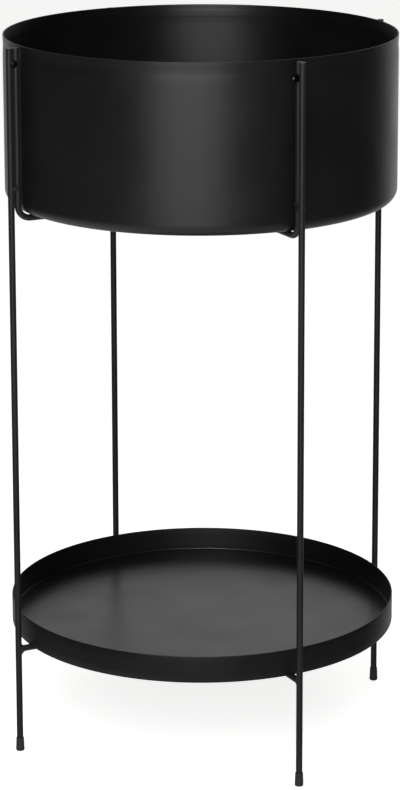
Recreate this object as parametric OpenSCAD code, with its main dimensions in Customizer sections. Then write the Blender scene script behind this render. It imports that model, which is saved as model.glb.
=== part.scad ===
// Round stand: a deep bowl in a rod cradle on four slim legs, with a shallow
// tray on crossed rods near the floor. Millimetres, +Z up, origin on the floor
// under the middle of the stand. The legs stand on the X and Y axes.

/* [Stand] */
// Height of the bowl rim above the floor
stand_h = 730; // [600:5:800]
// Outer diameter of the bowl
bowl_d = 399; // [300:1:440]
// Diameter of every rod
rod_d = 6.5; // [5:0.5:8]

/* [Bowl] */
// Height of the bowl
bowl_h = 169; // [120:1:200]
// Outer radius of the bowl's bottom corner
bowl_corner_r = 12; // [6:1:20]
// Sheet thickness of bowl and tray
sheet_t = 1.2; // [0.8:0.1:1.6]

/* [Tray] */
// Outer diameter of the tray
tray_d = 398; // [300:1:440]
// Height of the tray's rim strip
tray_h = 27; // [15:1:40]
// Height of the tray's underside above the floor
tray_z = 113; // [80:1:200]

/* [Rods] */
// Gap between the bowl and the cradle arms
arm_gap = 0.5; // [0.4:0.1:1.5]
// Gap between a cradle arm and its leg
leg_gap = 0.5; // [0.3:0.1:1]
// Centre-line radius of the bend at the foot of each cradle arm
arm_bend_r = 13; // [10:1:20]
// How far the rod tops stop below the bowl rim
rod_top_drop = 2; // [0:0.5:5]

/* [Fastenings] */
// Distance of the screws below the rod tops
screw_drop = 15.5; // [12:0.5:30]
// Length of the screws under the head
screw_len = 12; // [12:1:16]
// Distance of the arm clips below the rod tops
clip_drop = 139; // [60:1:150]
// Height of the rubber feet
foot_h = 14; // [12:1:20]

/* [Hidden] */
$fn = 64;
SIDES = ["front", "left", "right", "back"];

coat = "#1c1c1d";
black_zinc = "#3a3a3c";
rubber = "#262626";

rod_r = rod_d / 2;
rest_gap = 0.3;      // bowl and tray stand this far off their rods
bowl_r = bowl_d / 2;
tray_r = tray_d / 2;
bowl_z = stand_h - bowl_h;
floor_lift = 1.2;    // tray floor sits this far up inside its rim strip

arm_r = bowl_r + arm_gap + rod_r;            // cradle arm axis from the middle
leg_r = arm_r + rod_d + leg_gap;             // leg axis from the middle
pair_r = (arm_r + leg_r) / 2;                // middle of an arm and leg pair
rod_top = stand_h - rod_top_drop;
top_chamfer = 0.4;
hoop_z = bowl_z - rest_gap - rod_r;          // axis of the cradle rods under the bowl
bar_z = tray_z - rest_gap - rod_r;           // axis of the crossbars

screw_z = rod_top - screw_drop;
clip_z = rod_top - clip_drop;
thread_d = 4;        // M4
thread_play = 0.1;
hole_d = 4.2;
head_d = 7.6;
head_h = 2.2;
socket_af = 2.5;
socket_depth = 1.3;
nut_af = 7;
nut_h = 3.2;
point_chamfer = 0.5;

tab_t = 1.2;         // flat tabs of the arm clips
tab_w = 4;
tab_len = 7;         // between the centres of a tab's round ends
tab_tilt = 28;

foot_floor = 3;      // rubber under the rod end
foot_top_r = 3.9;
foot_bottom_r = 4.35;
foot_edge = 1.2;

weld_below = 4;      // leg lengths of the fillet under and over a crossbar end
weld_above = 2.5;
weld_flank = 2;      // the same on the flanks of the rods that cross in the middle
weld_w = 4.8;

// Turn from the right-hand leg's place to another side's
function turn(side) = side == "right" ? 0 : side == "back" ? 90 : side == "left" ? 180 : 270;

// A rod standing on end with a chamfered top
module standing_rod(z0, z1) {
    translate([0, 0, z0]) cylinder(h = z1 - top_chamfer - z0, r = rod_r);
    translate([0, 0, z1 - top_chamfer])
        cylinder(h = top_chamfer, r1 = rod_r, r2 = rod_r - top_chamfer);
}

// The screw's clearance hole, drilled on the line between arm and leg
module screw_hole() {
    translate([pair_r, 0, screw_z]) rotate([90, 0, 0])
        cylinder(h = 3 * rod_d, d = hole_d, center = true);
}

// Section of a pan with a rounded bottom corner
module pan_section(r, h, corner, t) {
    square([r - corner, t]);
    translate([r - t, corner]) square([t, h - corner]);
    translate([r - corner, corner]) intersection() {
        difference() {
            circle(r = corner);
            circle(r = corner - t);
        }
        translate([0, -corner]) square(corner);
    }
}

module bowl() color(coat) translate([0, 0, bowl_z])
    rotate_extrude($fn = 180) pan_section(bowl_r, bowl_h, bowl_corner_r, sheet_t);

module tray_wall() color(coat) translate([0, 0, tray_z])
    rotate_extrude($fn = 180) translate([tray_r - sheet_t, 0]) square([sheet_t, tray_h]);

module tray_floor() color(coat) translate([0, 0, tray_z + floor_lift])
    cylinder(h = sheet_t, r = tray_r - sheet_t, $fn = 180);

module leg() color(coat) difference() {
    translate([leg_r, 0, 0]) standing_rod(foot_floor, rod_top);
    screw_hole();
}

// A cradle rod from its arm's top, round the bend and in under the bowl to the middle
module cradle_rod() {
    bend_z = hoop_z + arm_bend_r;
    difference() {
        translate([arm_r, 0, 0]) standing_rod(bend_z, rod_top);
        screw_hole();
    }
    translate([arm_r - arm_bend_r, 0, bend_z]) rotate([-90, 0, 0])
        rotate_extrude(angle = 90) translate([arm_bend_r, 0]) circle(r = rod_r);
    translate([0, 0, hoop_z]) rotate([0, 90, 0]) cylinder(h = arm_r - arm_bend_r, r = rod_r);
}

// The through rod of the cradle, one U-shaped hoop
module cradle_hoop() color(coat) for (a = [0, 180]) rotate(a) cradle_rod();

// A rod of the cradle that ends at the hoop's middle, coped to fit against it
module cradle_arm() color(coat) difference() {
    cradle_rod();
    cross_rod(hoop_z);
}

// A rod along Y through the middle of the stand, for coping
module cross_rod(z) translate([0, 0, z]) rotate([90, 0, 0])
    cylinder(h = 10 * rod_d, r = rod_r, center = true);

// A crossbar from the middle to a leg, coped to the leg
module half_bar() difference() {
    translate([0, 0, bar_z]) rotate([0, 90, 0]) cylinder(h = leg_r, r = rod_r);
    translate([leg_r, 0, bar_z]) cylinder(h = 10 * rod_d, r = rod_r, center = true);
}

module long_crossbar() color(coat) for (a = [0, 180]) rotate(a) half_bar();

module short_crossbar() color(coat) difference() {
    half_bar();
    cross_rod(bar_z);
}

// Fillet welds where a rod from -X ends on an upright rod: below it and above it
module fillet_pair(below, above) difference() {
    intersection() {
        rotate([0, -90, 0]) for (half = [[below, 1], [above, -1]]) difference() {
            cylinder(h = rod_r + half[0], r1 = rod_d + half[0], r2 = rod_r);
            translate([half[1] * rod_d * 2, 0, 0]) cube(rod_d * 4, center = true);
        }
        translate([-rod_d, 0, 0]) cube([rod_d * 2, weld_w, rod_d * 6], center = true);
    }
    cylinder(h = 10 * rod_d, r = rod_r, center = true);
    rotate([0, -90, 0]) cylinder(h = 10 * rod_d, r = rod_r);
}

module bar_weld() color(coat) translate([leg_r, 0, bar_z]) fillet_pair(weld_below, weld_above);

// Welds of the two short rods on both flanks of the through rod
module centre_weld(z) color(coat) for (a = [0, 180])
    translate([0, 0, z]) rotate([90, 0, 90 + a]) fillet_pair(weld_flank, weld_flank);

// Two flat tabs on the leg's flanks; the cradle arm is pressed in between
module arm_clip() color(coat)
    for (side = [-1, 1])
        translate([pair_r, side * (rod_r + tab_t / 2), clip_z])
            rotate([0, tab_tilt, 0]) rotate([90, 0, 0]) {
                cube([tab_len, tab_w, tab_t], center = true);
                for (end = [-1, 1]) translate([end * tab_len / 2, 0, 0])
                    cylinder(h = tab_t, d = tab_w, center = true);
            }

// Button-head screw: head on the leg's anticlockwise flank, point on the other
module screw() color(black_zinc) translate([pair_r, rod_r, screw_z]) rotate([90, 0, 0]) {
    crown_r = (head_d * head_d / 4 + head_h * head_h) / (2 * head_h);
    cylinder(h = screw_len - point_chamfer, d = thread_d - thread_play);
    translate([0, 0, screw_len - point_chamfer])
        cylinder(h = point_chamfer, d1 = thread_d - thread_play, d2 = thread_d - 1);
    difference() {
        intersection() {
            translate([0, 0, crown_r - head_h]) sphere(r = crown_r);
            translate([0, 0, -head_h]) cylinder(h = head_h, d = head_d);
        }
        translate([0, 0, -head_h]) cylinder(h = socket_depth, d = socket_af / cos(30), $fn = 6);
    }
}

module nut() color(black_zinc)
    translate([pair_r, -rod_r, screw_z]) rotate([90, 0, 0]) difference() {
        cylinder(h = nut_h, d = nut_af / cos(30), $fn = 6);
        translate([0, 0, -1]) cylinder(h = nut_h + 2, d = thread_d);
    }

module foot() color(rubber) translate([leg_r, 0, 0]) difference() {
    union() {
        cylinder(h = foot_edge, r1 = foot_bottom_r - foot_edge, r2 = foot_bottom_r);
        translate([0, 0, foot_edge])
            cylinder(h = foot_h - foot_edge, r1 = foot_bottom_r, r2 = foot_top_r);
    }
    translate([0, 0, foot_floor]) cylinder(h = foot_h, r = rod_r);
}

bowl();
tray_wall();
tray_floor();
cradle_hoop();
centre_weld(hoop_z);  // cradle_centre_weld
long_crossbar();  // crossbar_long
centre_weld(bar_z);  // crossbar_centre_weld
for (side = ["front", "back"]) {
    rotate(turn(side)) cradle_arm();
    rotate(turn(side)) short_crossbar();
}
for (side = SIDES) {
    rotate(turn(side)) leg();
    rotate(turn(side)) bar_weld();
    rotate(turn(side)) arm_clip();
    rotate(turn(side)) screw();
    rotate(turn(side)) nut();
    rotate(turn(side)) foot();
}
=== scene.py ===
import math

import bmesh
import bpy
from mathutils import Euler, Matrix, Vector, noise


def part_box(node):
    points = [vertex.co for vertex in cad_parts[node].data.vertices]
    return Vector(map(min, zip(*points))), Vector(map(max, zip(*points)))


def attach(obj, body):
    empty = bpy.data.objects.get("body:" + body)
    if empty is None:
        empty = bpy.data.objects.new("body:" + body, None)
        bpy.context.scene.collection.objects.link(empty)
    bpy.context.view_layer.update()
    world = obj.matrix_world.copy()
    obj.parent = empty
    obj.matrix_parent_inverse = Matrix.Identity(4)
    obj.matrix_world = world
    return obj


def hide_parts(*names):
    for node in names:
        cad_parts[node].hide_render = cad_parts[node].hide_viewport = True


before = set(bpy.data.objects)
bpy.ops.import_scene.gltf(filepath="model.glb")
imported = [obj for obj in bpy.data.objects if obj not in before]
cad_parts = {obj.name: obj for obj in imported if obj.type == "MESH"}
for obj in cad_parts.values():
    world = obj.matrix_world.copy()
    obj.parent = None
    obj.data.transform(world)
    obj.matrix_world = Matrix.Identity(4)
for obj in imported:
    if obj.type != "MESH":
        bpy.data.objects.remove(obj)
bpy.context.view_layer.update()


# ---------------------------------------------------------------- camera
# A long lens looking slightly down on the stand, between its front and left
# legs, raised so that the rim opens up and the tray shows its whole floor.
EYE = Vector((-1.2858, -2.5062, 1.1481))
HEADING = Vector((0.4561, 0.8899, 0))
LOOK_DOWN = math.radians(11.813)
LEAN = math.radians(-0.149)
LENS, SENSOR_W = 128.6, 36
LENS_DROP = -0.25
NEAREST, FARTHEST = 0.05, 60

camera_data = bpy.data.cameras.new("studio_camera")
camera_data.lens, camera_data.sensor_width = LENS, SENSOR_W
camera_data.shift_y = LENS_DROP
camera_data.clip_start, camera_data.clip_end = NEAREST, FARTHEST
camera = bpy.data.objects.new("studio_camera", camera_data)
bpy.context.collection.objects.link(camera)
ahead = HEADING.normalized() * math.cos(LOOK_DOWN) - Vector((0, 0, math.sin(LOOK_DOWN)))
across = ahead.cross(Vector((0, 0, 1))).normalized()
upward = across.cross(ahead)
across, upward = (across * math.cos(LEAN) + upward * math.sin(LEAN),
                  upward * math.cos(LEAN) - across * math.sin(LEAN))
camera_turn = Matrix((across, upward, -ahead)).transposed().to_4x4()
camera.matrix_world = Matrix.Translation(EYE) @ camera_turn
bpy.context.scene.camera = camera


# ---------------------------------------------------------------- studio
# A pale matt floor in a white room with a bright sweep behind the stand, dimmed
# to the left by a drape, and a bright table top below it. Two upright soft boxes
# stand in front, a low and a high one, and a wide one hangs overhead.
FLOOR_R, FLOOR_SIDES = 14.0, 64
FLOOR_PALE, FLOOR_GLOW, FLOOR_MOTTLE = "#f7f7f6", 0.85, 3.0
WHITE = (1.0, 1.0, 1.0, 1)
ROOM_DIM = 0.02
# Each glow fades in between two cosines of the angle from its own direction.
SWEEP_FROM, SWEEP_TO, SWEEP_BRIGHT = 0.50, 1.0, 0.84
DRAPE_FROM, DRAPE_TO, DRAPE_DIM = -0.09, -0.01, 0.75
TABLE_FROM, TABLE_TO, TABLE_BRIGHT = 0.30, 0.80, 0.9
TABLE_LEFT, TABLE_RIGHT = 1.15, 0.35
# Name, lower edge, upper edge and watts of each box in front.
FRONT_BOXES = (("low_front_box", 0.02, 0.50, 4.0), ("high_front_box", 0.95, 3.0, 58))
BOX_W, BOX_AWAY, BOX_LEFT = 1.5, 2.2, 0.27
OVERHEAD_Z, OVERHEAD_W, OVERHEAD_WATTS = 3.2, 4.5, 30
CRISP = math.radians(38)


def colour(hex_value):
    """An sRGB hex colour as linear red, green, blue and alpha."""
    parts = [int(hex_value[i:i + 2], 16) / 255 for i in (1, 3, 5)]
    return (*[c / 12.92 if c <= 0.04045 else ((c + 0.055) / 1.055) ** 2.4 for c in parts], 1)


def add(tree, kind, ins=None, **settings):
    """Adds one node; ins gives each input a value or another node's output."""
    new = tree.nodes.new(kind)
    for name, value in settings.items():
        setattr(new, name, value)
    for key, value in (ins or {}).items():
        if isinstance(value, bpy.types.NodeSocket):
            tree.links.new(value, new.inputs[key])
        else:
            new.inputs[key].default_value = value
    return new


def blank_finish(name):
    """A new material and its empty node tree."""
    made = bpy.data.materials.new(name)
    made.use_nodes = True
    made.node_tree.nodes.clear()
    return made, made.node_tree


def solid(name, build, material):
    """A mesh object at the origin from a bmesh builder, smooth with crisp corners."""
    shape = bmesh.new()
    build(shape)
    bmesh.ops.recalc_face_normals(shape, faces=shape.faces)
    mesh = bpy.data.meshes.new(name)
    shape.to_mesh(mesh)
    shape.free()
    mesh.materials.append(material)
    mesh.shade_smooth()
    mesh.set_sharp_from_angle(angle=CRISP)
    made = bpy.data.objects.new(name, mesh)
    bpy.context.collection.objects.link(made)
    return made


# Matt floor paint: dull all over, with soft patches that are a touch smoother.
paper, tree = blank_finish("matt_painted_floor")
where = add(tree, "ShaderNodeTexCoord").outputs["Object"]
mottle = add(tree, "ShaderNodeTexNoise", {"Vector": where, "Scale": FLOOR_MOTTLE, "Detail": 2.0})
shade = add(tree, "ShaderNodeMapRange",
            {"Value": mottle.outputs["Fac"], "To Min": 0.97, "To Max": 1.0})
floor_coat = add(tree, "ShaderNodeBsdfPrincipled",
                 {"Base Color": colour(FLOOR_PALE), "Roughness": shade.outputs["Result"],
                  "Emission Color": colour(FLOOR_PALE), "Emission Strength": FLOOR_GLOW})
add(tree, "ShaderNodeOutputMaterial", {"Surface": floor_coat.outputs["BSDF"]})


def floor_disc(shape):
    """A flat disc of wedges round the origin."""
    centre = shape.verts.new((0, 0, 0))
    ring = [shape.verts.new((FLOOR_R * math.cos(a), FLOOR_R * math.sin(a), 0))
            for a in (math.tau * i / FLOOR_SIDES for i in range(FLOOR_SIDES))]
    for i, v in enumerate(ring):
        shape.faces.new((centre, v, ring[(i + 1) % FLOOR_SIDES]))


floor = solid("floor", floor_disc, paper)
floor.visible_glossy = False

world = bpy.data.worlds.new("white_room")
bpy.context.scene.world = world
world.use_nodes = True
tree = world.node_tree
tree.nodes.clear()
to_right = Vector((HEADING.y, -HEADING.x, 0))
way = add(tree, "ShaderNodeTexCoord").outputs["Generated"]
behind = add(tree, "ShaderNodeVectorMath", {0: way, 1: HEADING.normalized()},
             operation="DOT_PRODUCT")
sweep = add(tree, "ShaderNodeMapRange",
            {"Value": behind.outputs["Value"], "From Min": SWEEP_FROM, "From Max": SWEEP_TO,
             "To Min": ROOM_DIM, "To Max": SWEEP_BRIGHT}, interpolation_type="SMOOTHSTEP")
aside = add(tree, "ShaderNodeVectorMath", {0: way, 1: to_right.normalized()},
            operation="DOT_PRODUCT")
drape = add(tree, "ShaderNodeMapRange",
            {"Value": aside.outputs["Value"], "From Min": DRAPE_FROM, "From Max": DRAPE_TO,
             "To Min": DRAPE_DIM, "To Max": 1.0}, interpolation_type="SMOOTHSTEP")
lit_sweep = add(tree, "ShaderNodeMath",
                {0: sweep.outputs["Result"], 1: drape.outputs["Result"]}, operation="MULTIPLY")
down = add(tree, "ShaderNodeVectorMath", {0: way, 1: (0, 0, -1)}, operation="DOT_PRODUCT")
table = add(tree, "ShaderNodeMapRange",
            {"Value": down.outputs["Value"], "From Min": TABLE_FROM, "From Max": TABLE_TO,
             "To Min": 0.0, "To Max": TABLE_BRIGHT}, interpolation_type="SMOOTHSTEP")
table_side = add(tree, "ShaderNodeMapRange",
                 {"Value": aside.outputs["Value"], "From Min": -1.0, "From Max": 1.0,
                  "To Min": TABLE_LEFT, "To Max": TABLE_RIGHT})
lit_table = add(tree, "ShaderNodeMath",
                {0: table.outputs["Result"], 1: table_side.outputs["Result"]},
                operation="MULTIPLY")
glow = add(tree, "ShaderNodeMath", {0: lit_sweep.outputs[0], 1: lit_table.outputs[0]},
           operation="ADD")
room = add(tree, "ShaderNodeBackground", {"Color": WHITE, "Strength": glow.outputs[0]})
seen = add(tree, "ShaderNodeBackground", {"Color": WHITE, "Strength": 1.0})
is_camera = add(tree, "ShaderNodeLightPath").outputs["Is Camera Ray"]
mixed = add(tree, "ShaderNodeMixShader", {0: is_camera, 1: room.outputs[0], 2: seen.outputs[0]})
add(tree, "ShaderNodeOutputWorld", {"Surface": mixed.outputs[0]})


def soft_box(name, place, aim, width, height, watts):
    """A rectangular lamp that faces a point and isn't seen by the camera."""
    data = bpy.data.lights.new(name, "AREA")
    data.shape, data.size, data.size_y, data.energy = "RECTANGLE", width, height, watts
    lamp = bpy.data.objects.new(name, data)
    bpy.context.collection.objects.link(lamp)
    lamp.location = place
    lamp.rotation_mode = "QUATERNION"
    lamp.rotation_quaternion = (Vector(aim) - Vector(place)).to_track_quat("-Z", "Y")
    lamp.visible_camera = False
    return lamp


for name, low, high, watts in FRONT_BOXES:
    middle = Vector((0, 0, (low + high) / 2)) - to_right * BOX_LEFT
    place = middle - HEADING.normalized() * BOX_AWAY
    soft_box(name, place, middle, BOX_W, high - low, watts)
soft_box("overhead_soft_box", (0, 0, OVERHEAD_Z), (0, 0, 0),
         OVERHEAD_W, OVERHEAD_W, OVERHEAD_WATTS)
bpy.context.scene.view_settings.view_transform = "Standard"


# ---------------------------------------------------------------- bowl
# A deep round bowl, spun from 1.2 mm steel sheet with a rounded bottom corner
# and a smoothed cut rim, powder coated matt black inside and out.
MM = 0.001
bowl_low, bowl_high = (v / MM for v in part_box("bowl"))
STAND_TOP, BOWL_Z, BOWL_R = bowl_high.z, bowl_low.z, bowl_high.x
BOWL_CORNER, SHEET, RIM_ROUND = 12, 1.2, 0.5
PAN_SIDES = 192
COAT_BLACK = "#0c0c0d"
# The coat's cloudy patches in mm, how much its tint and gloss vary over them,
# and the depths in mm of its pebbles and of the rings that show through it.
PATCH_MM, TINT_VARIES, GLOSS_VARIES = 60, 0.15, 0.03
PEBBLE_DEEP, PEBBLE_SHOWS = 0.03, 0.25
RING_DEEP, RING_SHOWS, RING_SQUEEZE = 0.1, 0.6, 0.02


def powder_coat(name, base, roughness, pebble_mm, ring_mm=None):
    """Matt black powder coat, a baked polymer on steel: faintly pebbled, slightly uneven in gloss.

    Over spun sheet the rings of the work show through and draw highlights out
    upright. Real rings lie closer; they are spaced so that they can be seen.
    """
    made, tree = blank_finish(name)
    place = add(tree, "ShaderNodeTexCoord").outputs["Object"]
    patch = add(tree, "ShaderNodeTexNoise",
                {"Vector": place, "Scale": 1 / (PATCH_MM * MM), "Detail": 3.0}).outputs["Fac"]
    tint = add(tree, "ShaderNodeMapRange", {"Value": patch, "From Min": 0.3, "From Max": 0.7,
                                            "To Min": 1 - TINT_VARIES, "To Max": 1 + TINT_VARIES})
    black = add(tree, "ShaderNodeMix",
                {"Factor": 1.0, "A": colour(base), "B": tint.outputs["Result"]},
                data_type="RGBA", blend_type="MULTIPLY")
    gloss = add(tree, "ShaderNodeMapRange",
                {"Value": patch, "From Min": 0.3, "From Max": 0.7,
                 "To Min": roughness - GLOSS_VARIES, "To Max": roughness + GLOSS_VARIES})
    pebble = add(tree, "ShaderNodeTexNoise",
                 {"Vector": place, "Scale": 1 / (pebble_mm * MM), "Detail": 2.0})
    bump = add(tree, "ShaderNodeBump", {"Height": pebble.outputs["Fac"],
                                        "Strength": PEBBLE_SHOWS, "Distance": PEBBLE_DEEP * MM})
    spun = {}
    if ring_mm:
        squeezed = add(tree, "ShaderNodeMapping",
                       {"Vector": place, "Scale": (RING_SQUEEZE, RING_SQUEEZE, 1)})
        rings = add(tree, "ShaderNodeTexNoise", {"Vector": squeezed.outputs["Vector"],
                                                 "Scale": 1 / (ring_mm * MM), "Detail": 3.0})
        bump = add(tree, "ShaderNodeBump",
                   {"Height": rings.outputs["Fac"], "Strength": RING_SHOWS,
                    "Distance": RING_DEEP * MM, "Normal": bump.outputs["Normal"]})
        round_axis = add(tree, "ShaderNodeTangent", direction_type="RADIAL", axis="Z")
        spun = {"Anisotropic": 0.6, "Anisotropic Rotation": 0.25,
                "Tangent": round_axis.outputs[0]}
    coat = add(tree, "ShaderNodeBsdfPrincipled",
               {**spun, "Base Color": black.outputs["Result"],
                "Roughness": gloss.outputs["Result"], "IOR": 1.5,
                "Normal": bump.outputs["Normal"]})
    add(tree, "ShaderNodeOutputMaterial", {"Surface": coat.outputs["BSDF"]})
    return made


def arc(cx, cz, r, start, end, steps):
    """Points on an arc of a turned section, as (radius, height) pairs."""
    angles = [math.radians(start + (end - start) * i / steps) for i in range(steps + 1)]
    return [(cx + r * math.cos(a), cz + r * math.sin(a)) for a in angles]


def spread(a, b, steps):
    """Evenly spaced points between two points of a section, ends left out."""
    return [(a[0] + (b[0] - a[0]) * i / steps, a[1] + (b[1] - a[1]) * i / steps)
            for i in range(1, steps)]


def bridge(shape, low, high):
    """Faces between two closed rings of points, where a ring of one point is a pole."""
    sides = max(len(low), len(high))
    for i in range(sides):
        j = (i + 1) % sides
        corners = [low[i % len(low)], low[j % len(low)], high[j % len(high)], high[i % len(high)]]
        shape.faces.new(list(dict.fromkeys(corners)))


def turned(section, sides, closed=False):
    """A builder that turns a section in mm round the stand's axis, with poles at radius 0."""
    def build(shape):
        rings = []
        for r, z in section:
            if r < 1e-6:
                rings.append([shape.verts.new((0, 0, z * MM))])
            else:
                rings.append([shape.verts.new((r * MM * math.cos(a), r * MM * math.sin(a), z * MM))
                              for a in (math.tau * i / sides for i in range(sides))])
        for low, high in zip(rings, rings[1:]):
            bridge(shape, low, high)
        if closed:
            bridge(shape, rings[-1], rings[0])
    return build


# The spinning leaves a shallow neck just under the rim and rings of tool marks
# that die out below it: how deep, how far below the rim and how far apart, in mm.
NECK_IN, NECK_DOWN, NECK_WIDE = 0.4, 10, 6
MARK_DEEP, MARKS_FROM, MARKS_TO = 0.035, 2, 45
MARK_STEP, MARK_FINE_STEP = 5.3, 3.1


def spun_in(z):
    """How far the wall lies inside its full radius at a height."""
    t = STAND_TOP - z
    neck = NECK_IN * math.exp(-((t - NECK_DOWN) / NECK_WIDE) ** 2)
    marks = (1 + 0.6 * math.sin(math.tau * t / MARK_STEP)
             + 0.4 * math.sin(math.tau * t / MARK_FINE_STEP + 1))
    return neck + MARK_DEEP * marks * min(1, t / MARKS_FROM) * max(0, 1 - t / MARKS_TO)


corner_r, wall_foot = BOWL_R - BOWL_CORNER, BOWL_Z + BOWL_CORNER
bowl_floor = BOWL_Z + SHEET
rim_z, marks_z = STAND_TOP - RIM_ROUND, STAND_TOP - MARKS_TO
wall = (spread((BOWL_R, wall_foot), (BOWL_R, marks_z), 6)
        + spread((BOWL_R, marks_z - 0.5), (BOWL_R, rim_z), 70))
bowl_section = ([(0, BOWL_Z)] + spread((0, BOWL_Z), (corner_r, BOWL_Z), 5)
                + arc(corner_r, wall_foot, BOWL_CORNER, -90, 0, 10)
                + [(r - spun_in(z), z) for r, z in wall]
                + arc(BOWL_R - RIM_ROUND, rim_z, RIM_ROUND, 0, 90, 4)
                + arc(BOWL_R - SHEET + RIM_ROUND, rim_z, RIM_ROUND, 90, 180, 4)
                + [(r - SHEET - spun_in(z), z) for r, z in reversed(wall)]
                + arc(corner_r, wall_foot, BOWL_CORNER - SHEET, 0, -90, 10)
                + spread((corner_r, bowl_floor), (0, bowl_floor), 5) + [(0, bowl_floor)])

spun_coat = powder_coat("powder_coated_spun_steel", COAT_BLACK, 0.43, 1.6, ring_mm=3)
bowl = solid("spun_bowl", turned(bowl_section, PAN_SIDES), spun_coat)
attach(bowl, "bowl")
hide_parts("bowl")


# ---------------------------------------------------------------- cradle
# Round steel rod, cut square with the edge of each cut filed and bent cold: one
# through hoop and two side arms carry the bowl and rise on its four sides. The
# side arms are coped to the hoop and welded to it under the bowl.
leg_low, leg_high = (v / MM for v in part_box("leg_right"))
ROD_R = (leg_high.x - leg_low.x) / 2
hoop_low, hoop_high = (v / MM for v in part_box("cradle_hoop"))
nut_low, nut_high = (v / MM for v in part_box("nut_right"))
LEG_R, ROD_TOP = leg_high.x - ROD_R, leg_high.z
ARM_R, CRADLE_Z = hoop_high.x - ROD_R, hoop_low.z + ROD_R
PAIR_R = (ARM_R + LEG_R) / 2
SCREW_Z = (nut_low.z + nut_high.z) / 2
TOP_CHAMFER, ARM_BEND, BEND_STEPS = 0.4, 13, 12
HOLE_R = 2.1
ROD_SIDES, DRILL_SIDES, DRILL_LEN = 28, 32, 40
# The rod black is painted paler than the sheet black as painted glare along the thin rods.
ROD_BLACK_WITH_PAINTED_GLARE = "#18181a"


def node_group(name, sizes):
    """An empty geometry tree with a geometry input and the named size inputs."""
    group = bpy.data.node_groups.new(name, "GeometryNodeTree")
    group.interface.new_socket("Geometry", in_out="INPUT", socket_type="NodeSocketGeometry")
    for label, kind in sizes:
        group.interface.new_socket(label, in_out="INPUT", socket_type="NodeSocket" + kind)
    group.interface.new_socket("Geometry", in_out="OUTPUT", socket_type="NodeSocketGeometry")
    return group, group.nodes.new("NodeGroupInput").outputs


# A rod swept along its own centre line, with up to two round cuts made in it
# (a screw hole, or the cope where it meets another rod).
rod_tree, given = node_group("swept_rod", [
    ("Rod radius", "Float"), ("Sides", "Int"), ("Finish", "Material"),
    ("Cut 1", "Bool"), ("Cut 1 place", "Vector"), ("Cut 1 turn", "Vector"),
    ("Cut 1 radius", "Float"),
    ("Cut 2", "Bool"), ("Cut 2 place", "Vector"), ("Cut 2 turn", "Vector"),
    ("Cut 2 radius", "Float")])
line = add(rod_tree, "GeometryNodeMeshToCurve", {"Mesh": given["Geometry"]})
ring = add(rod_tree, "GeometryNodeCurvePrimitiveCircle",
           {"Radius": given["Rod radius"], "Resolution": given["Sides"]})
swept = add(rod_tree, "GeometryNodeCurveToMesh",
            {"Curve": line.outputs["Curve"], "Profile Curve": ring.outputs["Curve"],
             "Fill Caps": True})
stock = swept.outputs["Mesh"]
for cut in ("Cut 1", "Cut 2"):
    drill = add(rod_tree, "GeometryNodeMeshCylinder",
                {"Vertices": DRILL_SIDES, "Radius": given[cut + " radius"],
                 "Depth": DRILL_LEN * MM})
    placed = add(rod_tree, "GeometryNodeTransform",
                 {"Geometry": drill.outputs["Mesh"], "Translation": given[cut + " place"],
                  "Rotation": given[cut + " turn"]})
    taken = add(rod_tree, "GeometryNodeMeshBoolean",
                {"Mesh 1": stock, "Mesh 2": placed.outputs["Geometry"]},
                operation="DIFFERENCE", solver="EXACT")
    chosen = add(rod_tree, "GeometryNodeSwitch",
                 {"Switch": given[cut], "False": stock, "True": taken.outputs["Mesh"]},
                 input_type="GEOMETRY")
    stock = chosen.outputs["Output"]
real = add(rod_tree, "GeometryNodeRealizeInstances", {"Geometry": stock})
coated = add(rod_tree, "GeometryNodeSetMaterial",
             {"Geometry": real.outputs["Geometry"], "Material": given["Finish"]})
add(rod_tree, "NodeGroupOutput", {"Geometry": coated.outputs["Geometry"]})

# Copies of a part set evenly round the stand's axis, one for each leg or arm.
round_tree, given = node_group("round_the_stand", [
    ("Count", "Int"), ("Start angle", "Float"), ("Finish", "Material")])
spots = add(round_tree, "GeometryNodePoints", {"Count": given["Count"]})
step = add(round_tree, "ShaderNodeMath", {0: math.tau, 1: given["Count"]}, operation="DIVIDE")
order = add(round_tree, "GeometryNodeInputIndex").outputs["Index"]
angle = add(round_tree, "ShaderNodeMath", {0: order, 1: step.outputs[0], 2: given["Start angle"]},
            operation="MULTIPLY_ADD")
turn = add(round_tree, "ShaderNodeCombineXYZ", {"Z": angle.outputs[0]})
copies = add(round_tree, "GeometryNodeInstanceOnPoints",
             {"Points": spots.outputs[0], "Instance": given["Geometry"],
              "Rotation": turn.outputs[0]})
real = add(round_tree, "GeometryNodeRealizeInstances", {"Geometry": copies.outputs["Instances"]})
coated = add(round_tree, "GeometryNodeSetMaterial",
             {"Geometry": real.outputs["Geometry"], "Material": given["Finish"]})
add(round_tree, "NodeGroupOutput", {"Geometry": coated.outputs["Geometry"]})


def grow(made, group, **sizes):
    """Runs a geometry tree on an object and keeps the result as its plain mesh."""
    modifier = made.modifiers.new(group.name, "NODES")
    modifier.node_group = group
    for item in group.interface.items_tree:
        key = item.name.lower().replace(" ", "_")
        if item.in_out == "INPUT" and key in sizes:
            modifier[item.identifier] = sizes[key]
    grown = made.evaluated_get(bpy.context.evaluated_depsgraph_get())
    kept = bpy.data.meshes.new_from_object(grown)
    made.modifiers.clear()
    made.data = kept
    kept.shade_smooth()
    kept.set_sharp_from_angle(angle=CRISP)
    return made


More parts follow.
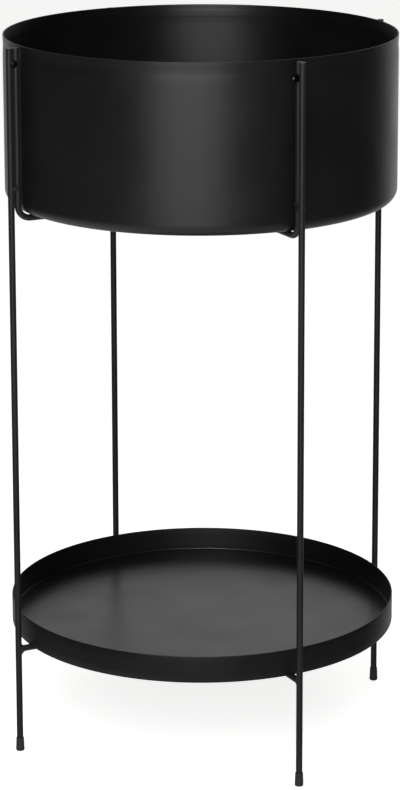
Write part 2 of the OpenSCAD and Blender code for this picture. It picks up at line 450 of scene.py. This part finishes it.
def rod(name, path, finish, cuts=()):
    """A rod along a path of (x, y, z, width) points in mm, where width is 1 for the full rod."""
    mesh = bpy.data.meshes.new(name)
    mesh.from_pydata([Vector(p[:3]) * MM for p in path],
                     [(i, i + 1) for i in range(len(path) - 1)], [])
    width = mesh.attributes.new("radius", "FLOAT", "POINT")
    for i, p in enumerate(path):
        width.data[i].value = p[3]
    made = bpy.data.objects.new(name, mesh)
    bpy.context.collection.objects.link(made)
    sizes = {"rod_radius": ROD_R * MM, "sides": ROD_SIDES, "finish": finish}
    for number, (place, turned_by, radius) in enumerate(cuts, 1):
        sizes |= {f"cut_{number}": True, f"cut_{number}_place": Vector(place) * MM,
                  f"cut_{number}_turn": turned_by, f"cut_{number}_radius": radius * MM}
    return grow(made, rod_tree, **sizes)


def filed_end(x, end_z):
    """The last points of an upright rod whose cut end is filed to a small chamfer."""
    return [(x, 0, end_z - TOP_CHAMFER, 1), (x, 0, end_z, (ROD_R - TOP_CHAMFER) / ROD_R)]


def arm_path(outward):
    """Centre line of a cradle arm from its filed top round the bend; outward is 1 or -1."""
    top = [(p[0] * outward, *p[1:]) for p in reversed(filed_end(ARM_R, ROD_TOP))]
    straight = [(ARM_R * outward, 0, ROD_TOP - down, 1) for down in (30, 70, 110)]
    bend_r, bend_z = ARM_R - ARM_BEND, CRADLE_Z + ARM_BEND
    bend = [((bend_r + ARM_BEND * math.cos(a)) * outward, 0, bend_z - ARM_BEND * math.sin(a), 1)
            for a in (math.radians(90 * i / BEND_STEPS) for i in range(BEND_STEPS + 1))]
    return top + straight + bend


# The rods' coat is painted a little paler than the sheet's: painted glare, standing in for back
# light caught along the thin rods' edges.
rod_coat = powder_coat("powder_coated_steel_rod", ROD_BLACK_WITH_PAINTED_GLARE, 0.42, 1.2)
UPRIGHT, ACROSS = (0, 0, 0), (math.pi / 2, 0, 0)
hole_right = ((PAIR_R, 0, SCREW_Z), ACROSS, HOLE_R)
hole_left = ((-PAIR_R, 0, SCREW_Z), ACROSS, HOLE_R)
cope_middle = ((0, 0, CRADLE_Z), ACROSS, ROD_R)

hoop = rod("cradle_hoop_rod", arm_path(1) + arm_path(-1)[::-1], rod_coat, [hole_right, hole_left])
side_arms = rod("cradle_side_arms", arm_path(1) + [(0, 0, CRADLE_Z, 1)], rod_coat,
                [hole_right, cope_middle])
grow(side_arms, round_tree, count=2, start_angle=math.pi / 2, finish=rod_coat)
for piece, nodes in ((hoop, ["cradle_hoop"]),
                     (side_arms, ["cradle_arm_front", "cradle_arm_back"])):
    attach(piece, "frame")
    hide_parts(*nodes)


# ---------------------------------------------------------------- legs
# Four upright legs of the same rod, each standing in a rubber foot and
# screwed and clipped to a cradle arm.
FOOT_FLOOR = leg_low.z
LEG_STEPS = (60, 100, 130, 250, 400, 550, 690)
SIDES = ("front", "left", "right", "back")

leg_path = [(LEG_R, 0, z, 1) for z in (FOOT_FLOOR, *LEG_STEPS)] + filed_end(LEG_R, ROD_TOP)
legs = rod("legs", leg_path, rod_coat, [hole_right])
grow(legs, round_tree, count=4, start_angle=0, finish=rod_coat)
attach(legs, "frame")
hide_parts(*[f"leg_{side}" for side in SIDES])


# ---------------------------------------------------------------- crossbars
# One long rod between the left and right legs and two short ones from the
# front and back legs to its middle, coped and welded, which carry the tray.
BAR_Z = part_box("crossbar_long")[1].z / MM - ROD_R
HALFWAY = 100
cope_leg = ((LEG_R, 0, BAR_Z), UPRIGHT, ROD_R)
cope_other_leg = ((-LEG_R, 0, BAR_Z), UPRIGHT, ROD_R)
cope_bar = ((0, 0, BAR_Z), ACROSS, ROD_R)

long_path = [(x, 0, BAR_Z, 1) for x in (-LEG_R, -HALFWAY, 0, HALFWAY, LEG_R)]
long_bar = rod("long_crossbar", long_path, rod_coat, [cope_leg, cope_other_leg])
short_path = [(x, 0, BAR_Z, 1) for x in (0, HALFWAY, LEG_R)]
short_bars = rod("short_crossbars", short_path, rod_coat, [cope_leg, cope_bar])
grow(short_bars, round_tree, count=2, start_angle=math.pi / 2, finish=rod_coat)
for piece, nodes in ((long_bar, ["crossbar_long"]),
                     (short_bars, ["crossbar_front", "crossbar_back"])):
    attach(piece, "frame")
    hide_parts(*nodes)


# ---------------------------------------------------------------- welds
# Fillet welds that were run by hand before coating: a larger bead under each
# crossbar end than over it, and a small one in each corner of the crossings.
WELD_SIDES, WELD_STEPS = 72, 8
END_WELD = {"below": 4, "above": 2.5, "flank": 0.8, "ripples": 9}
CROSSING_WELD = {"below": 2, "above": 2, "flank": 2, "ripples": 8}
# How far the edges bite into the rods and the root lies inside them, how hollow
# the face is, how full the flanks are, and how high the ripples stand.
WELD_BITE, WELD_ROOT, WELD_HOLLOW, WELD_FULL = 0.12, 0.6, 0.22, 0.25
RIPPLE, FINE_RIPPLE, FINE_PER_RIPPLE = 0.10, 0.06, 2.7


def fillet(below, above, flank, ripples):
    """A builder for a weld where a rod from -X meets an upright rod at the origin, sizes in mm."""
    def section(a):
        up, side = math.cos(a), math.sin(a)
        size = flank + ((above if up > 0 else below) - flank) * abs(up) ** 1.5
        ripple = RIPPLE * math.sin(ripples * a)
        ripple += FINE_RIPPLE * math.sin(FINE_PER_RIPPLE * ripples * a + 1)
        root = Vector((-ROD_R * abs(up), ROD_R * side, ROD_R * up))
        outward = Vector((0, side, up))
        on_bar = root + Vector((-size, 0, 0)) - WELD_BITE * outward
        on_leg = root + Vector((WELD_BITE, 0, size * math.copysign(abs(up) ** 0.4, up)))
        points = []
        for k in range(WELD_STEPS + 1):
            t = k / WELD_STEPS
            middle = 4 * t * (1 - t)
            straight = on_bar.lerp(on_leg, t)
            inward = (root - straight) * (WELD_HOLLOW * middle)
            swell = Vector((-0.5, 0.8 * side, 0.6 * up)) * (ripple + WELD_FULL * (1 - abs(up)))
            points.append(straight + inward + swell * middle)
        points.append(root + Vector((WELD_ROOT, 0, 0)) - WELD_ROOT * outward)
        return points

    def build(shape):
        loops = [[shape.verts.new(p * MM) for p in section(math.tau * i / WELD_SIDES)]
                 for i in range(WELD_SIDES)]
        for low, high in zip(loops, loops[1:] + loops[:1]):
            bridge(shape, low, high)
    return build


def moved(made, matrix):
    """Places a piece by moving its mesh, so its object stays at the origin."""
    made.data.transform(matrix)
    return made


end_welds = moved(solid("crossbar_end_welds", fillet(**END_WELD), rod_coat),
                  Matrix.Translation(Vector((LEG_R, 0, BAR_Z)) * MM))
grow(end_welds, round_tree, count=4, start_angle=0, finish=rod_coat)
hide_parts(*[f"bar_weld_{side}" for side in SIDES])


def crossing_welds(name, z):
    """The welds of the two side rods on both flanks of the through rod."""
    laid = Euler((math.pi / 2, 0, math.pi / 2)).to_matrix().to_4x4()
    made = moved(solid(name, fillet(**CROSSING_WELD), rod_coat),
                 Matrix.Translation((0, 0, z * MM)) @ laid)
    return grow(made, round_tree, count=2, start_angle=0, finish=rod_coat)


cradle_weld = crossing_welds("cradle_crossing_weld", CRADLE_Z)
bar_weld = crossing_welds("crossbar_crossing_weld", BAR_Z)
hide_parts("cradle_centre_weld")
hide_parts("crossbar_centre_weld")
for piece in (end_welds, cradle_weld, bar_weld):
    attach(piece, "frame")


# ---------------------------------------------------------------- arm clips
# Two flat steel tabs with round ends welded to the flanks of each leg; the
# cradle arm is pressed in between them, which keeps it upright on the leg.
clip_low, clip_high = (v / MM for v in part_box("arm_clip_right"))
CLIP_Z = (clip_low.z + clip_high.z) / 2
TAB_T, TAB_W, TAB_LEN, TAB_TILT = 1.2, 4.0, 7.0, math.radians(28)
TAB_EDGE, TAB_STEPS = 0.3, 10


def tabs(shape):
    """One tab on each flank, built up in loops from the face on the rods to the outer face."""
    outline = [(end * TAB_LEN / 2,
                math.radians(-90 + 180 * k / TAB_STEPS) + (0 if end > 0 else math.pi))
               for end in (1, -1) for k in range(TAB_STEPS + 1)]
    softer = TAB_EDGE * 0.3
    layers = [(TAB_EDGE, 0), (softer, softer), (0, TAB_EDGE),
              (0, TAB_T - TAB_EDGE), (softer, TAB_T - softer), (TAB_EDGE, TAB_T)]
    for flank in (-1, 1):
        lie = (Matrix.Translation(Vector((PAIR_R, flank * ROD_R, CLIP_Z)) * MM)
               @ Matrix.Rotation(TAB_TILT, 4, "Y"))
        loops = []
        for inset, depth in layers:
            r = TAB_W / 2 - inset
            loops.append([
                shape.verts.new(lie @ (Vector((x + r * math.cos(a), flank * depth,
                                               r * math.sin(a))) * MM))
                for x, a in outline])
        for low, high in zip(loops, loops[1:]):
            bridge(shape, low, high)
        shape.faces.new(loops[0])
        shape.faces.new(loops[-1])


clips = solid("arm_clips", tabs, rod_coat)
grow(clips, round_tree, count=4, start_angle=0, finish=rod_coat)
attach(clips, "frame")
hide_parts(*[f"arm_clip_{side}" for side in SIDES])


# ---------------------------------------------------------------- screws and nuts
# M4 x 12 button-head socket screws through arm and leg with plain hex nuts,
# black zinc plated; the last thread stands bare of plating at the tip.
HEX_CORNER = 1 / math.cos(math.pi / 6)
SCREW_LEN, POINT, SCREW_SIDES = 12, 0.5, 36
HEAD_R, HEAD_H, HEAD_STEPS = 3.8, 2.2, 8
HEX_R, HEX_DEEP, HEX_CONE = 1.25 * HEX_CORNER, 1.3, 0.25
EDGE_BREAK = 0.12
THREAD_R, THREAD_PITCH, THREAD_DEPTH = 1.95, 0.7, 0.38
THREAD_FROM, THREAD_REST, THREAD_STEPS, THREAD_STEEP = 0.4, 0.6, 6, 2.6
NUT_FLAT, NUT_H, NUT_SIDES = 3.5, 3.2, 48
BORE_R, BORE_MOUTH_R, BORE_MOUTH = 2.0, 2.25, 0.3
NUT_FACE_R, NUT_CHAMFER, NUT_EDGE = 0.96 * NUT_FLAT, 0.38, 0.04
PLATE_BLACK, PLATE_WORN = "#0e0e10", "#6e6d6a"


def zinc_plating():
    """Black zinc plating on steel: satin dark metal, worn to bright steel where it is cut."""
    made, tree = blank_finish("black_zinc_plated_steel")
    place = add(tree, "ShaderNodeTexCoord").outputs["Object"]
    speck = add(tree, "ShaderNodeTexNoise",
                {"Vector": place, "Scale": 1 / (0.8 * MM), "Detail": 3.0}).outputs["Fac"]
    worn = add(tree, "ShaderNodeMapRange", {"Value": speck, "From Min": 0.45, "From Max": 0.75,
                                            "To Min": 0.0, "To Max": 0.35})
    bare = add(tree, "ShaderNodeAttribute", attribute_name="bare")
    share = add(tree, "ShaderNodeMath", {0: bare.outputs["Fac"], 1: worn.outputs["Result"]},
                operation="MAXIMUM")
    blend = add(tree, "ShaderNodeMix", {"Factor": share.outputs[0], "A": colour(PLATE_BLACK),
                                        "B": colour(PLATE_WORN)}, data_type="RGBA")
    satin = add(tree, "ShaderNodeMapRange", {"Value": speck, "To Min": 0.28, "To Max": 0.5})
    metal = add(tree, "ShaderNodeBsdfPrincipled",
                {"Base Color": blend.outputs["Result"], "Metallic": 1.0,
                 "Roughness": satin.outputs["Result"]})
    add(tree, "ShaderNodeOutputMaterial", {"Surface": metal.outputs["BSDF"]})
    return made


def ring_of(shape, sides, radius, height):
    """A ring of points in mm round +Z; radius and height are numbers or functions of the angle."""
    points = []
    for a in (math.tau * i / sides for i in range(sides)):
        r = radius(a) if callable(radius) else radius
        z = height(a) if callable(height) else height
        points.append(shape.verts.new(Vector((r * math.cos(a), r * math.sin(a), z)) * MM))
    return points


def screw_body(shape):
    """Button head with a hex socket and a threaded shank, along +Z from the seat at z = 0."""
    crown = (HEAD_R ** 2 + HEAD_H ** 2) / (2 * HEAD_H)
    socket_z = -HEAD_H + HEX_DEEP
    last = int((SCREW_LEN - POINT - THREAD_REST) / THREAD_PITCH) * THREAD_STEPS

    def ring(radius, z):
        return ring_of(shape, SCREW_SIDES, radius, z)

    def pole(z):
        return [shape.verts.new(Vector((0, 0, z)) * MM)]

    def hex_radius(a):
        return HEX_R * math.cos(math.pi / 6) / math.cos((a % (math.pi / 3)) - math.pi / 6)

    def thread_radius(k):
        fade = min(1, k / THREAD_STEPS, (last - k) / THREAD_STEPS + 0.35)

        def radius_at(a):
            phase = (k / THREAD_STEPS - a / math.tau) % 1
            crest = min(1, THREAD_STEEP * min(phase, 1 - phase))
            return THREAD_R - THREAD_DEPTH * fade * (1 - crest)
        return radius_at

    rings = [pole(socket_z + HEX_CONE), ring(hex_radius, socket_z),
             ring(hex_radius, -HEAD_H + EDGE_BREAK),
             ring(lambda a: hex_radius(a) + EDGE_BREAK, -HEAD_H + 0.01)]
    crown_from, crown_to = HEX_R + 0.25, HEAD_R - EDGE_BREAK
    for k in range(1, HEAD_STEPS + 1):
        r = crown_from + (crown_to - crown_from) * k / HEAD_STEPS
        rings.append(ring(r, crown - HEAD_H - math.sqrt(crown ** 2 - r ** 2)))
    rings += [ring(HEAD_R, -EDGE_BREAK), ring(HEAD_R - 0.08, 0), ring(THREAD_R - 0.1, 0)]
    for k in range(last + 1):
        rings.append(ring(thread_radius(k), THREAD_FROM + k * THREAD_PITCH / THREAD_STEPS))
    rings += [ring(THREAD_R - THREAD_DEPTH * 0.3, SCREW_LEN - POINT),
              ring(THREAD_R - 0.45, SCREW_LEN), pole(SCREW_LEN)]
    for low, high in zip(rings, rings[1:]):
        bridge(shape, low, high)


def nut_body(shape):
    """Hex nut with both corners chamfered and a countersunk bore, along +Z from z = 0."""
    corner = NUT_FLAT * HEX_CORNER

    def hexagon(a):
        return NUT_FLAT / math.cos((a + math.pi / 6) % (math.pi / 3) - math.pi / 6)

    def drop(a):
        return (hexagon(a) - NUT_FLAT) / (corner - NUT_FLAT) * NUT_CHAMFER + NUT_EDGE

    def ring(radius, z):
        return ring_of(shape, NUT_SIDES, radius, z)

    rings = [ring(BORE_MOUTH_R, 0), ring(NUT_FACE_R, 0),
             ring(hexagon, drop), ring(hexagon, lambda a: NUT_H - drop(a)),
             ring(NUT_FACE_R, NUT_H), ring(BORE_MOUTH_R, NUT_H),
             ring(BORE_R, NUT_H - BORE_MOUTH), ring(BORE_R, BORE_MOUTH)]
    for low, high in zip(rings, rings[1:] + rings[:1]):
        bridge(shape, low, high)


plating = zinc_plating()


def fastened(name, build, flank, bare_from):
    """A fastener through the right-hand pair of rods from one flank, copied to all four legs.

    Faces further along it than bare_from are marked as bare of plating.
    """
    made = solid(name, build, plating)
    mark = made.data.attributes.new("bare", "FLOAT", "FACE")
    for face in made.data.polygons:
        mark.data[face.index].value = 1.0 if face.center.z > bare_from * MM else 0.0
    moved(made, Matrix.Translation(Vector((PAIR_R, flank * ROD_R, SCREW_Z)) * MM)
          @ Matrix.Rotation(math.pi / 2, 4, "X"))
    grow(made, round_tree, count=4, start_angle=0, finish=plating)
    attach(made, "frame")
    return made


screws = fastened("screws", screw_body, 1, SCREW_LEN - POINT - 0.2)
nuts = fastened("nuts", nut_body, -1, math.inf)
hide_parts(*[f"screw_{side}" for side in SIDES])
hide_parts(*[f"nut_{side}" for side in SIDES])


# ---------------------------------------------------------------- tray
# A flat steel disc welded 1.2 mm up inside a rim strip, the strip rolled
# round and butt welded; it lies loose on the crossbars.
tray_low, tray_high = (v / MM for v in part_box("tray_wall"))
TRAY_Z, TRAY_TOP, TRAY_R = tray_low.z, tray_high.z, tray_high.x
TRAY_IN, FLOOR_LIFT, EDGE = TRAY_R - SHEET, 1.2, 0.35

edge_z, lip_z = TRAY_Z + EDGE, TRAY_TOP - RIM_ROUND
rim_section = (arc(TRAY_R - EDGE, edge_z, EDGE, -90, 0, 3)
               + spread((TRAY_R, edge_z), (TRAY_R, lip_z), 3)
               + arc(TRAY_R - RIM_ROUND, lip_z, RIM_ROUND, 0, 90, 4)
               + arc(TRAY_IN + RIM_ROUND, lip_z, RIM_ROUND, 90, 180, 4)
               + spread((TRAY_IN, lip_z), (TRAY_IN, edge_z), 3)
               + arc(TRAY_IN + EDGE, edge_z, EDGE, 180, 270, 3))
floor_low, floor_high = TRAY_Z + FLOOR_LIFT, TRAY_Z + FLOOR_LIFT + SHEET
disc_section = ([(0, floor_low)] + spread((0, floor_low), (TRAY_IN, floor_low), 5)
                + [(TRAY_IN, floor_low), (TRAY_IN, floor_high)]
                + spread((TRAY_IN, floor_high), (0, floor_high), 8) + [(0, floor_high)])
# The coat on the strip is duller than on the flat disc.
tray_coat = powder_coat("powder_coated_sheet_steel", COAT_BLACK, 0.32, 1.6)
strip_coat = powder_coat("powder_coated_rim_strip", COAT_BLACK, 0.44, 1.6)
tray_rim = solid("tray_rim_strip", turned(rim_section, PAN_SIDES, closed=True), strip_coat)
tray_disc = solid("tray_floor_disc", turned(disc_section, PAN_SIDES), tray_coat)
for piece, node in ((tray_rim, "tray_wall"), (tray_disc, "tray_floor")):
    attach(piece, "tray")
    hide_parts(node)

# The seam between disc and strip is filled with a thin run of sealer before
# coating, uneven along its length, which catches the light all round.
BEAD, BEAD_SIDES, BEAD_STEPS = 1.1, 720, 5
BEAD_VARIES, BEAD_SWELLS = 0.30, 9
BEAD_FINE_VARIES, BEAD_FINE_SWELLS = 0.22, 45
BEAD_HOLLOW, BEAD_SUNK = 0.18, 0.1


def sealer(shape):
    """The bead's hollow face and its root inside the steel, all round the tray."""
    loops = []
    for i in range(BEAD_SIDES):
        a = math.tau * i / BEAD_SIDES
        slow = Vector((math.cos(a) * BEAD_SWELLS, math.sin(a) * BEAD_SWELLS, 0))
        fast = Vector((math.cos(a) * BEAD_FINE_SWELLS, math.sin(a) * BEAD_FINE_SWELLS, 3))
        size = BEAD * (1 + BEAD_VARIES * noise.noise(slow) + BEAD_FINE_VARIES * noise.noise(fast))
        loop = [(TRAY_IN + BEAD_SUNK, floor_high - BEAD_SUNK)]
        for k in range(BEAD_STEPS + 1):
            t = k / BEAD_STEPS
            hollow = BEAD_HOLLOW * size * 4 * t * (1 - t)
            loop.append((TRAY_IN - size * t + hollow, floor_high + size * (1 - t) - hollow))
        loop.append((TRAY_IN - size, floor_high - BEAD_SUNK))
        loops.append([shape.verts.new((r * MM * math.cos(a), r * MM * math.sin(a), z * MM))
                      for r, z in loop])
    for low, high in zip(loops, loops[1:] + loops[:1]):
        bridge(shape, low, high)


tray_bead = solid("tray_seam_bead", sealer, tray_coat)
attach(tray_bead, "tray")


# ---------------------------------------------------------------- feet
# Moulded rubber caps pushed on to the leg ends, slightly flared to the floor
# with a rounded bottom edge.
FOOT_H, FOOT_TOP_R, FOOT_BASE_R, FOOT_EDGE = 14, 3.9, 4.35, 1.2
FOOT_SIDES, FOOT_DISH, FOOT_LIP = 40, 0.3, 0.4
RUBBER_BLACK, RUBBER_DUSTY = "#1b1b1c", "#292929"


def rubber():
    """Moulded black rubber: dull, fine-grained, dusty grey where it has been handled."""
    made, tree = blank_finish("moulded_black_rubber")
    place = add(tree, "ShaderNodeTexCoord").outputs["Object"]
    dust = add(tree, "ShaderNodeTexNoise",
               {"Vector": place, "Scale": 1 / (4 * MM), "Detail": 4.0}).outputs["Fac"]
    tint = add(tree, "ShaderNodeMix", {"Factor": dust, "A": colour(RUBBER_BLACK),
                                       "B": colour(RUBBER_DUSTY)}, data_type="RGBA")
    grain = add(tree, "ShaderNodeTexNoise",
                {"Vector": place, "Scale": 1 / (0.6 * MM), "Detail": 2.0})
    bump = add(tree, "ShaderNodeBump",
               {"Height": grain.outputs["Fac"], "Strength": 0.3, "Distance": 0.05 * MM})
    dull = add(tree, "ShaderNodeMapRange", {"Value": dust, "To Min": 0.6, "To Max": 0.8})
    skin = add(tree, "ShaderNodeBsdfPrincipled",
               {"Base Color": tint.outputs["Result"], "IOR": 1.52,
                "Roughness": dull.outputs["Result"], "Normal": bump.outputs["Normal"]})
    add(tree, "ShaderNodeOutputMaterial", {"Surface": skin.outputs["BSDF"]})
    return made


base_in = FOOT_BASE_R - FOOT_EDGE
foot_section = ([(0, FOOT_DISH), (base_in - 0.8, FOOT_DISH), (base_in - 0.4, 0)]
                + arc(base_in, FOOT_EDGE, FOOT_EDGE, -90, 0, 6)
                + spread((FOOT_BASE_R, FOOT_EDGE), (FOOT_TOP_R, FOOT_H - 0.5), 4)
                + arc(FOOT_TOP_R - FOOT_LIP, FOOT_H - FOOT_LIP, FOOT_LIP, 0, 90, 3)
                + [(ROD_R + 0.05, FOOT_H - 0.15), (ROD_R, FOOT_H - 0.6),
                   (ROD_R, FOOT_FLOOR), (0, FOOT_FLOOR)])
rubber_skin = rubber()
feet = moved(solid("rubber_feet", turned(foot_section, FOOT_SIDES), rubber_skin),
             Matrix.Translation((LEG_R * MM, 0, 0)))
grow(feet, round_tree, count=4, start_angle=0, finish=rubber_skin)
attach(feet, "frame")
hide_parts(*[f"foot_{side}" for side in SIDES])
